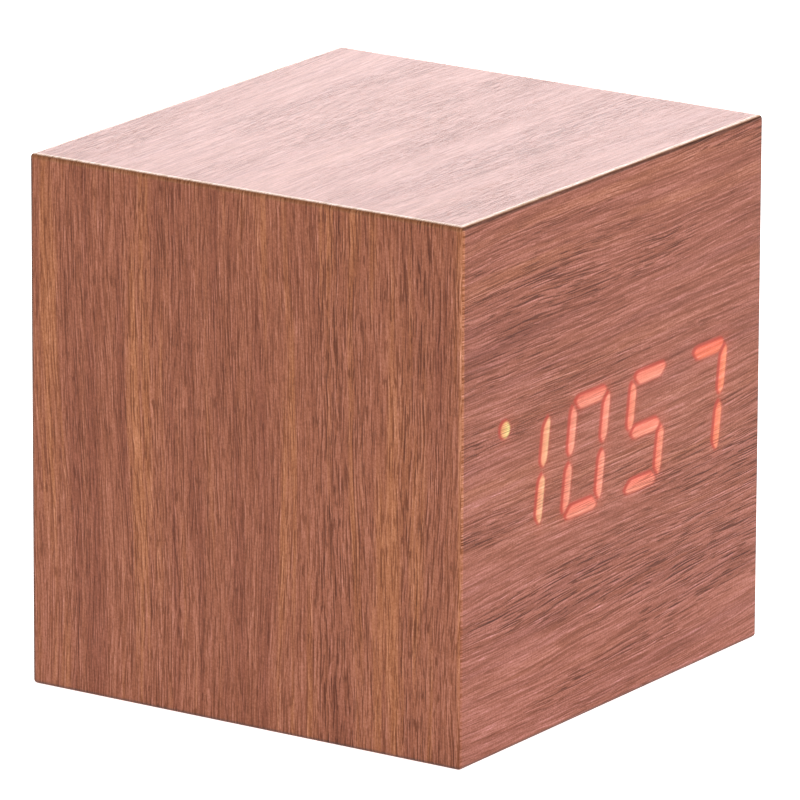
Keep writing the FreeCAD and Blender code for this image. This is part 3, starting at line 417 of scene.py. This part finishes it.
def laminate(name, mask, copper):
    """A circuit board: solder mask over faint copper tracks."""
    n = Nodes(name)
    cells = n.add("ShaderNodeTexBrick")
    n.link(n.stretch((0.55, 0.55, 0.55), (0.3, 0.1, 0.2)), cells.inputs["Vector"])
    cells.inputs["Scale"].default_value = 1.0
    cells.inputs["Mortar Size"].default_value = 0.06
    cells.inputs["Color1"].default_value = (0.0, 0.0, 0.0, 1.0)
    cells.inputs["Color2"].default_value = (0.15, 0.15, 0.15, 1.0)
    cells.inputs["Mortar"].default_value = (1.0, 1.0, 1.0, 1.0)
    weave = n.noise(n.stretch((3.0, 3.0, 3.0)), 2.0)
    tone = n.mix(n.ramp(cells.outputs["Color"], 0.3, 0.8, 0.0, 0.8), mask, copper)
    tone = n.mix(n.ramp(weave, 0.4, 0.7, 0.0, 0.3), tone, tuple(c * 0.7 for c in mask))
    n.link(tone, n.shader.inputs["Base Color"])
    n.link(n.ramp(weave, 0.3, 0.7, 0.22, 0.36), n.shader.inputs["Roughness"])
    n.bump(cells.outputs["Color"], 0.01, 0.5)
    return n.material


def jacket(name):
    """Printed shrink film of a cell: a slate barrel with two pale bands, without words."""
    n = Nodes(name)
    x, _, z = n.split_mm()
    # The middle cell lies the other way round, so its bands are at the other end.
    off_middle = n.math("ABSOLUTE", n.math("SUBTRACT", z, MIDDLE_CELL_Z))
    outer_cell = n.math("GREATER_THAN", off_middle, HALF_CELL_PITCH)
    way = n.math("SUBTRACT", n.math("MULTIPLY", outer_cell, 2.0), 1.0)
    along = n.math("MULTIPLY", x, way)
    film = n.noise(n.stretch((0.25, 0.9, 0.9)), 2.0)
    wide = n.math("MULTIPLY", n.ramp(along, 12.9, 13.1), n.ramp(along, 16.1, 15.9))
    thin = n.math("MULTIPLY", n.ramp(along, 10.9, 11.1), n.ramp(along, 11.9, 11.7))
    band = n.math("MAXIMUM", wide, thin)
    tone = n.mix(band, (0.030, 0.062, 0.075), (0.62, 0.63, 0.60))
    tone = n.mix(n.ramp(film, 0.3, 0.7, 0.0, 0.12), tone, (0.10, 0.13, 0.14))
    n.link(tone, n.shader.inputs["Base Color"])
    n.link(n.math("MULTIPLY", band, 0.4), n.shader.inputs["Metallic"])
    n.link(n.ramp(film, 0.2, 0.8, 0.20, 0.32), n.shader.inputs["Roughness"])
    n.bump(film, 0.02, 0.5)
    return n.material


def lamp(name, colour, strength):
    """Diffusing resin, lit from behind."""
    n = Nodes(name)
    cloud = n.noise(n.stretch((1.2, 1.2, 1.2)), 2.0)
    tone = n.mix(n.ramp(cloud, 0.3, 0.7), tuple(c * 0.8 for c in colour), colour)
    n.link(tone, n.shader.inputs["Base Color"])
    n.link(tone, n.shader.inputs["Emission Color"])
    n.shader.inputs["Emission Strength"].default_value = strength
    n.shader.inputs["Roughness"].default_value = 0.35
    n.bump(cloud, 0.01, 0.4)
    return n.material


# ---------------------------------------------------------------- the finish of each CAD node

# Tones are (plain, warm, dark).
SIDE_TONES = ((0.290, 0.092, 0.045), (0.342, 0.116, 0.045), (0.228, 0.064, 0.030))
FRONT_TONES = ((0.262, 0.082, 0.049), (0.300, 0.100, 0.051), (0.211, 0.062, 0.039))
TOP_TONES = ((0.342, 0.096, 0.053), (0.366, 0.108, 0.052), (0.316, 0.086, 0.053))
PINE_TONES = ((0.50, 0.33, 0.18), (0.56, 0.38, 0.22), (0.40, 0.24, 0.12))
# The left sheet's bands as (place, tone, share of pores), from the rear edge to the front edge.
LEFT_BANDS = (
    (30.0, 0.55, 0.5), (26.5, 0.84, 0.6), (23.5, 0.28, 0.8), (20.0, 0.46, 0.6), (14.5, 0.66, 0.8),
    (12.0, 0.36, 0.8), (6.0, 0.32, 0.7), (1.0, 0.52, 0.7), (-3.0, 0.42, 0.6), (-6.0, 0.44, 0.7),
    (-9.0, 0.62, 0.6), (-11.5, 0.50, 1.0), (-15.5, 0.46, 0.9), (-19.5, 0.74, 0.7), (-24.0, 0.56, 1.0),
    (-27.0, 0.58, 0.8), (-30.0, 0.62, 0.7),
)

BLACK = (0.011, 0.011, 0.012)
finishes = {
    "veneer_top": walnut("walnut_top", "x", "y", 2.0, TOP_TONES, 0.9, tilt=-0.02, contrast=0.7, gloss=0.25,
                         rough=0.33, fine=1.2, calm=0.5, rim="top"),
    "veneer_bottom": walnut("walnut_bottom", "x", "y", 5.0, FRONT_TONES),
    "veneer_left": walnut("walnut_left", "z", "y", 3.0, SIDE_TONES, 1.0, LEFT_BANDS, painted_top_shade=True, rim="side"),
    "veneer_right": walnut("walnut_right", "z", "y", 4.0, SIDE_TONES, rim="side"),
}
board_stuff = fibreboard("fibreboard")
for side in ("top", "bottom", "left", "right", "front"):
    finishes["board_" + side] = board_stuff
finishes["corner_blocks"] = walnut("block_pine", "y", "x", 6.0, PINE_TONES, 0.3)

cover_stuff = plastic("cover_plastic", BLACK, 0.52)
finishes["rear_cover"] = cover_stuff
finishes["battery_door"] = plastic("door_plastic", (0.012, 0.012, 0.013), 0.50)
button_stuff = plastic("button_plastic", (0.020, 0.020, 0.021), 0.38, 0.25, 0.006)
plunger_stuff = plastic("plunger_plastic", (0.05, 0.05, 0.05), 0.4, 0.3, 0.006)
for word in ("set", "up", "down"):
    finishes[word + "_button"] = button_stuff
    finishes[word + "_plunger"] = plunger_stuff
finishes["switch_lever"] = plastic("lever_plastic", (0.035, 0.035, 0.036), 0.4, 0.25, 0.006)
dark_stuff = plastic("dark_plastic", (0.012, 0.012, 0.012), 0.45, 0.3, 0.01)
for name in ("tact_housings", "switch_base", "usb_tongue", "backup_holder", "buzzer"):
    finishes[name] = dark_stuff
steel = metal("plated_steel", (0.62, 0.62, 0.60))
for name in ("tact_plates", "switch_frame", "usb_shell", "contact_plates", "contact_springs", "display_pins",
             "cell_lower", "cell_middle", "cell_upper", "backup_cell"):
    finishes[name] = steel
screw_stuff = metal("black_zinc", (0.10, 0.10, 0.11), 0.36, (4.0, 1.0, 4.0))
for name in ("cover_screws", "control_board_screws", "main_board_screws"):
    finishes[name] = screw_stuff
finishes["usb_contacts"] = metal("gold_flash", (0.80, 0.56, 0.22), 0.25)
can_stuff = metal("drawn_can", (0.70, 0.70, 0.71), 0.28, (5.0, 0.5, 5.0))
for name in ("microphone", "crystal"):
    finishes[name] = can_stuff
board_green = laminate("circuit_board", (0.010, 0.085, 0.026), (0.020, 0.150, 0.045))
finishes["control_board"] = board_green
finishes["main_board"] = board_green
finishes["display_substrate"] = laminate("display_board", (0.42, 0.38, 0.25), (0.50, 0.40, 0.22))
finishes["thermistor"] = plastic("bead_resin", (0.06, 0.03, 0.015), 0.25, 0.3, 0.01)
finishes["cell_jackets"] = jacket("cell_film")
finishes["battery_lead_red"] = plastic("red_sleeve", (0.50, 0.02, 0.015), 0.42, 0.3, 0.006)
finishes["battery_lead_black"] = plastic("black_sleeve", (0.015, 0.015, 0.015), 0.42, 0.3, 0.006)
finishes["link_wires"] = plastic("grey_sleeve", (0.30, 0.30, 0.31), 0.42, 0.3, 0.006)
nylon = plastic("nylon", (0.72, 0.68, 0.56), 0.45, 0.4, 0.008)
finishes["wire_plugs"] = nylon
finishes["board_spacers"] = nylon
finishes["display_housing"] = plastic("display_face", (0.02, 0.02, 0.022), 0.55)
finishes["led_chips"] = plastic("led_die", (0.60, 0.15, 0.08), 0.3, 0.1, 0.004)
finishes["segments_unlit"] = plastic("resin_unlit", (0.45, 0.40, 0.38), 0.35, 0.5, 0.006)
finishes["segments_lit"] = lamp("resin_lit", (1.0, 0.22, 0.12), 1.2)
finishes["indicator_dot"] = lamp("dot_lit", (1.0, 0.62, 0.28), 1.2)
epoxy = plastic("chip_epoxy", (0.014, 0.014, 0.015), 0.6, 0.2, 0.01)
for name in ("controller_chip", "clock_chip", "chip_resistors"):
    finishes[name] = epoxy
finishes["capacitor"] = plastic("can_sleeve", (0.012, 0.014, 0.04), 0.25, 0.5, 0.004)

for name, material in finishes.items():
    mesh = nodes[name].data
    mesh.materials.clear()
    mesh.materials.append(material)

# ---------------------------------------------------------------- the lit digits' shapes

GLOW_REACH = 8.0  # from a shape's middle to where its light no longer counts
HALO_MM = 0.8  # how fast the halo fades


def outside(x, z, polygon):
    """Roughly the distance from a point to a convex polygon with rounded corners, negative inside."""
    total = sum(math.exp(ROUNDING * ((x - ax) * nx + (z - az) * nz)) for ax, az, nx, nz in polygon)
    return math.log(total) / ROUNDING


def sides(points):
    """A convex polygon's sides as (point, outward normal)."""
    middle_x = sum(p[0] for p in points) / len(points)
    middle_z = sum(p[1] for p in points) / len(points)
    lines = []
    for (ax, az), (bx, bz) in zip(points, points[1:] + points[:1]):
        nx, nz = bz - az, ax - bx
        size = math.hypot(nx, nz)
        if (middle_x - ax) * nx + (middle_z - az) * nz > 0:
            size = -size
        lines.append((ax, az, nx / size, nz / size))
    return lines


def segment_outline(across, level):
    """A segment's corners from its digit's middle, before the digit is slanted.

    Each end is a point, drawn outwards where two segments meet at a corner of the digit.
    """
    upright = abs(across) == 1.0
    if upright:
        start, end, thick = MIDDLE_GAP, HALF_HEIGHT - CORNER_GAP, POST
        low_tip, high_tip = 0.0, TIP_SHIFT
        along, out = math.copysign(1.0, level), across
    else:
        end, thick = HALF_WIDTH - (CORNER_GAP if level else MIDDLE_GAP), BAR
        start = -end
        low_tip = high_tip = TIP_SHIFT if level else 0.0
        along, out = 1.0, level or 1.0
    outline = [(start, low_tip), (start + thick + low_tip, -thick), (end - thick - high_tip, -thick),
               (end, high_tip), (end - thick + high_tip, thick), (start + thick - low_tip, thick)]
    if upright:
        return [(across * HALF_WIDTH + side * out, run * along) for run, side in outline]
    return [(run, level * HALF_HEIGHT + side * out) for run, side in outline]


def lit_shapes():
    """The glowing shapes as (middle, side lines, upright, colour of the light)."""
    corners = 16
    dot = []
    for k in range(corners):
        turn = k * math.tau / corners
        dot.append((INDICATOR[0] + DOT_RADIUS * math.cos(turn), INDICATOR[1] + DOT_RADIUS * math.sin(turn)))
    shapes = [(INDICATOR, sides(dot), True, DOT_LIGHT)]
    for digit, letters in enumerate(LIT):
        centre = DISPLAY_X + (digit - (len(LIT) - 1) / 2) * DIGIT_PITCH
        for letter in letters:
            across, level = SEGMENT_PLACE[letter]
            upright = abs(across) == 1.0
            points = [(centre + u + v * SLANT, DISPLAY_Z + v) for u, v in segment_outline(across, level)]
            middle = tuple(sum(places) / len(points) for places in zip(*points))
            light = POST_LIGHT[digit] if upright else BAR_LIGHT[digit]
            shapes.append((middle, sides(points), upright, light))
    return shapes


def smooth(value, low, high):
    """An eased step from 0 at low to 1 at high."""
    t = max(0.0, min(1.0, (value - low) / (high - low)))
    return t * t * (3 - 2 * t)


def glow_at(x, z, shapes):
    """Colour of the light that leaves the veneer here, and the strength of the painted red glow fringe."""
    total = [0.0, 0.0, 0.0]
    fringe = 0.0
    for (mx, mz), lines, upright, light in shapes:
        if abs(mx - x) + abs(mz - z) >= GLOW_REACH:
            continue
        near = outside(x, z, lines)
        core = 1.0 - smooth(near, -0.26, 0.10)
        # The light is yellower on a segment's right or lower side, and redder on the other.
        turn = (x - mx - (z - mz) * SLANT) / POST if upright else (mz - z) / BAR
        lean = 1.0 + 0.38 * max(-1.0, min(1.0, turn))
        halo = math.exp(-max(near, 0.0) / HALO_MM)
        for k, part in enumerate((light[0], light[1] * lean, light[2] * lean)):
            total[k] += core * part + halo * HALO_LIGHT[k]
        # The painted glow fringe is wider on the upper left.
        beside = 0.9 * (1.0 - smooth(outside(x + 0.34, z - 0.16, lines), -0.05, 0.34))
        around = 0.40 * (1.0 - smooth(near, 0.0, 0.24))
        fringe = max(fringe, max(beside, around) * (1.0 - 0.8 * core))
    return total, min(0.80, fringe)


# ---------------------------------------------------------------- front veneer, with the lit digits

GLOW_LOW, GLOW_HIGH = 22.0, 42.0  # the heights between which the sheet glows
GRID_MM = 0.17  # the vertices' spacing where the digits shine
GRID_X = (-26.0, 26.0)
GRID_Z = (23.2, 40.6)
ARRIS_STEPS = 6
CORNER_STEPS = 6


def spaced(low, high, step):
    """Even places from low to high, about a step apart."""
    count = max(1, round((high - low) / step))
    return [low + (high - low) * i / count for i in range(count + 1)]


def graded(low, fine, high, step):
    """Places about a step apart, but GRID_MM apart between the two ends of fine."""
    return spaced(low, fine[0], step) + spaced(*fine, GRID_MM)[1:] + spaced(fine[1], high, step)[1:]


def face_grid(mesh, front):
    """The sheet's flat face as columns of vertices."""
    xs = graded(ARRIS - CASE_X, GRID_X, CASE_X - ARRIS, 1.1)
    zs = graded(ARRIS, GRID_Z, CASE_Z - ARRIS, 1.2)
    grid = [[mesh.verts.new((x, front, z)) for z in zs] for x in xs]
    for left, right in zip(grid, grid[1:]):
        for j in range(len(zs) - 1):
            mesh.faces.new((left[j], right[j], right[j + 1], left[j + 1]))
    return grid


def face_border(grid):
    """The face's border as a ring of (vertex, outward x, outward z); each corner turns in steps."""
    last_x, last_z = len(grid) - 1, len(grid[0]) - 1
    stretches = (
        ([grid[i][0] for i in range(1, last_x)], grid[last_x][0], -90.0),
        ([grid[last_x][j] for j in range(1, last_z)], grid[last_x][last_z], 0.0),
        ([grid[i][last_z] for i in range(last_x - 1, 0, -1)], grid[0][last_z], 90.0),
        ([grid[0][j] for j in range(last_z - 1, 0, -1)], grid[0][0], 180.0),
    )
    ring = []
    for run, corner, start in stretches:
        turns = [(vertex, start) for vertex in run]
        turns += [(corner, start + 90.0 * k / CORNER_STEPS) for k in range(CORNER_STEPS + 1)]
        ring += [(vertex, math.cos(math.radians(a)), math.sin(math.radians(a))) for vertex, a in turns]
    return ring


def round_over(mesh, ring, front, back):
    """Rounds the face's edges over to the mitre, which then runs in to the sheet's rear face."""
    previous = [entry[0] for entry in ring]
    for step in range(1, ARRIS_STEPS + 2):
        row = []
        for vertex, out_x, out_z in ring:
            x, _, z = vertex.co
            if step <= ARRIS_STEPS:
                angle = math.atan(1.0 / max(abs(out_x), abs(out_z))) * step / ARRIS_STEPS
                reach = ARRIS * math.sin(angle)
                place = (x + out_x * reach, front + ARRIS * (1 - math.cos(angle)), z + out_z * reach)
            else:
                inner_x = max(VENEER - CASE_X, min(CASE_X - VENEER, x + out_x * ARRIS))
                inner_z = max(VENEER, min(CASE_Z - VENEER, z + out_z * ARRIS))
                place = (inner_x, back, inner_z)
            row.append(mesh.verts.new(place))
        for k in range(len(ring)):
            a, b = previous[k], previous[(k + 1) % len(ring)]
            c, d = row[(k + 1) % len(ring)], row[k]
            mesh.faces.new((a, d, c) if a == b else (a, d, c, b))
        previous = row


def light_up(mesh, front):
    """Stores the digits' light and their painted red glow fringe at the face's vertices."""
    glow = mesh.verts.layers.float_color.new("glow")
    fringe = mesh.verts.layers.float.new("painted_glow_fringe")
    shapes = lit_shapes()
    for vertex in mesh.verts:
        x, y, z = vertex.co
        light, red = (0.0, 0.0, 0.0), 0.0
        if y <= front + 0.01 and GLOW_LOW < z < GLOW_HIGH:
            light, red = glow_at(x, z, shapes)
        vertex[glow] = (*light, 1.0)
        vertex[fringe] = red


def scene_object(name, data):
    obj = bpy.data.objects.new(name, data)
    bpy.context.scene.collection.objects.link(obj)
    return obj


def front_skin():
    """The front veneer sheet: a fine face with rounded arrises and a mitred rim."""
    low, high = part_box("veneer_front")
    front, back = low.y / MM, high.y / MM
    mesh = bmesh.new()
    round_over(mesh, face_border(face_grid(mesh, front)), front, back)
    bmesh.ops.remove_doubles(mesh, verts=mesh.verts[:], dist=1e-5)
    bmesh.ops.contextual_create(mesh, geom=[edge for edge in mesh.edges if len(edge.link_faces) == 1])
    bmesh.ops.recalc_face_normals(mesh, faces=mesh.faces[:])
    for face in mesh.faces:
        face.smooth = face.normal.y < -0.3
    light_up(mesh, front)
    bmesh.ops.scale(mesh, vec=(MM, MM, MM), verts=mesh.verts[:])
    data = bpy.data.meshes.new("front_skin")
    mesh.to_mesh(data)
    mesh.free()
    data.materials.append(walnut("walnut_front", "x", "z", 1.0, FRONT_TONES, 1.0, tilt=-0.02, gloss=0.12,
                                 straight=1.5, fine=1.35, calm=0.6, contrast=1.25, painted_top_shade=True, rim="front",
                                 glow=True))
    return scene_object("front_skin", data)


skin = front_skin()
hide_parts("veneer_front")
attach(skin, "case")

# ---------------------------------------------------------------- paint on the raised marks over the buttons

MARK_TOP = 28.68  # how far behind the case's middle the marks' faces are
MARK_RISE = 4.6  # from a button's middle up to its mark's
MARKS = {
    "set": ((-0.5, -0.5), (0.5, -0.5), (0.5, 0.5), (-0.5, 0.5)),
    "up": ((-0.62, -0.5), (0.62, -0.5), (0.0, 0.42)),
    "down": ((-0.62, 0.5), (0.62, 0.5), (0.0, -0.42)),
}
# The coat's sections, as the distance past the mark's face and the share of the full outline.
COAT = ((-0.04, 1.0), (0.012, 1.0), (0.020, 0.96))


def mark_paint():
    """A thin coat on the square and the two triangles, just proud of the moulded marks."""
    mesh = bmesh.new()
    for word, outline in MARKS.items():
        low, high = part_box(word + "_button")
        middle_x = (low.x + high.x) / 2 / MM
        middle_z = (low.z + high.z) / 2 / MM + MARK_RISE
        rings = []
        for depth, share in COAT:
            places = [(middle_x + x * share, MARK_TOP + depth, middle_z + z * share) for x, z in outline]
            rings.append([mesh.verts.new(Vector(place) * MM) for place in places])
        for ring, outer in zip(rings, rings[1:]):
            for k in range(len(outline)):
                j = (k + 1) % len(outline)
                mesh.faces.new((ring[k], ring[j], outer[j], outer[k]))
        mesh.faces.new(rings[0])
        mesh.faces.new(rings[-1])
    bmesh.ops.recalc_face_normals(mesh, faces=mesh.faces[:])
    data = bpy.data.meshes.new("mark_paint")
    mesh.to_mesh(data)
    mesh.free()
    data.materials.append(plastic("mark_paint", (0.55, 0.55, 0.54), 0.6, 0.2, 0.006, 0.1))
    return scene_object("mark_paint", data)


marks = mark_paint()
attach(marks, "case")

# ---------------------------------------------------------------- floor, light and camera, in metres

FLOOR_REACH = 12.0
FLOOR_GAP = 0.03 * MM  # keeps the floor from lying in the same plane as the underside


def floor():
    """A pale floor that gives off enough light to look as white as the room."""
    n = Nodes("floor_pale")
    cloud = n.noise(n.stretch((0.004, 0.004, 0.004)), 2.0)
    n.link(n.mix(cloud, (0.90, 0.90, 0.90), (0.93, 0.93, 0.93)), n.shader.inputs["Base Color"])
    n.shader.inputs["Roughness"].default_value = 0.9
    n.shader.inputs["Specular IOR Level"].default_value = 0.1
    n.shader.inputs["Emission Color"].default_value = (1.0, 1.0, 1.0, 1.0)
    n.shader.inputs["Emission Strength"].default_value = 0.98
    mesh = bpy.data.meshes.new("floor")
    turns = ((-1, -1), (1, -1), (1, 1), (-1, 1))
    mesh.from_pydata([(x * FLOOR_REACH, y * FLOOR_REACH, -FLOOR_GAP) for x, y in turns], [], [(0, 1, 2, 3)])
    mesh.materials.append(n.material)
    return scene_object("floor", mesh)


def white_world(strength):
    """Even white light from all around."""
    world = bpy.data.worlds.new("studio")
    world.use_nodes = True
    background = world.node_tree.nodes["Background"]
    background.inputs["Color"].default_value = (1.0, 1.0, 1.0, 1.0)
    background.inputs["Strength"].default_value = strength
    bpy.context.scene.world = world


def soft_light(name, place, aim, width, height, watts, colour=(1.0, 1.0, 1.0)):
    """A flat lamp that faces aim and doesn't show itself."""
    data = bpy.data.lights.new(name, "AREA")
    data.shape = "RECTANGLE"
    data.size = width
    data.size_y = height
    data.energy = watts
    data.color = colour
    obj = scene_object(name, data)
    obj.location = place
    obj.rotation_euler = (Vector(aim) - Vector(place)).to_track_quat("-Z", "Y").to_euler()
    obj.visible_camera = False


floor()
white_world(0.62)
soft_light("overhead", (0.1, -0.1, 1.3), (0, 0, 0.03), 1.4, 1.4, 5.0)
soft_light("rear_wall", (0.75, 0.52, 0.34), (0, 0, 0.064), 0.62, 0.42, 3.05, (1.0, 0.90, 0.915))
soft_light("front_fill", (0.60, -1.1, 0.25), (0, 0, 0.03), 0.9, 0.5, 4.6)

# The camera stands to the left of the front and a little above it, and aims just beside the middle.
AZIMUTH, ELEVATION, ROLL = (math.radians(v) for v in (-56.272, 15.622, 0.232))
DISTANCE = 1177.26 * MM
AIM_RIGHT, AIM_DOWN = 0.191 * MM, 0.183 * MM
FOCAL_MM, SENSOR_MM = 452.08, 36.0


def place_camera():
    """A long lens far away, so that the case's upright edges stay nearly parallel."""
    back = Vector((math.sin(AZIMUTH) * math.cos(ELEVATION), -math.cos(AZIMUTH) * math.cos(ELEVATION),
                   math.sin(ELEVATION)))
    level = Vector((math.cos(AZIMUTH), math.sin(AZIMUTH), 0.0))
    rise = back.cross(level)
    right = level * math.cos(ROLL) + rise * math.sin(ROLL)
    up = rise * math.cos(ROLL) - level * math.sin(ROLL)
    target = Vector((0.0, 0.0, CASE_Z / 2 * MM)) + right * AIM_RIGHT - up * AIM_DOWN
    lens = bpy.data.cameras.new("camera")
    lens.sensor_width = SENSOR_MM
    lens.lens = FOCAL_MM
    lens.clip_start = 0.05
    lens.clip_end = 40.0
    camera = scene_object("camera", lens)
    turned = Matrix((right, up, back)).transposed().to_4x4()
    camera.matrix_world = Matrix.Translation(target + back * DISTANCE) @ turned
    bpy.context.scene.camera = camera


place_camera()
bpy.context.scene.view_settings.view_transform = "Standard"
bpy.context.scene.view_settings.look = "None"

# ---------------------------------------------------------------- the last line

bpy.context.view_layer.update()
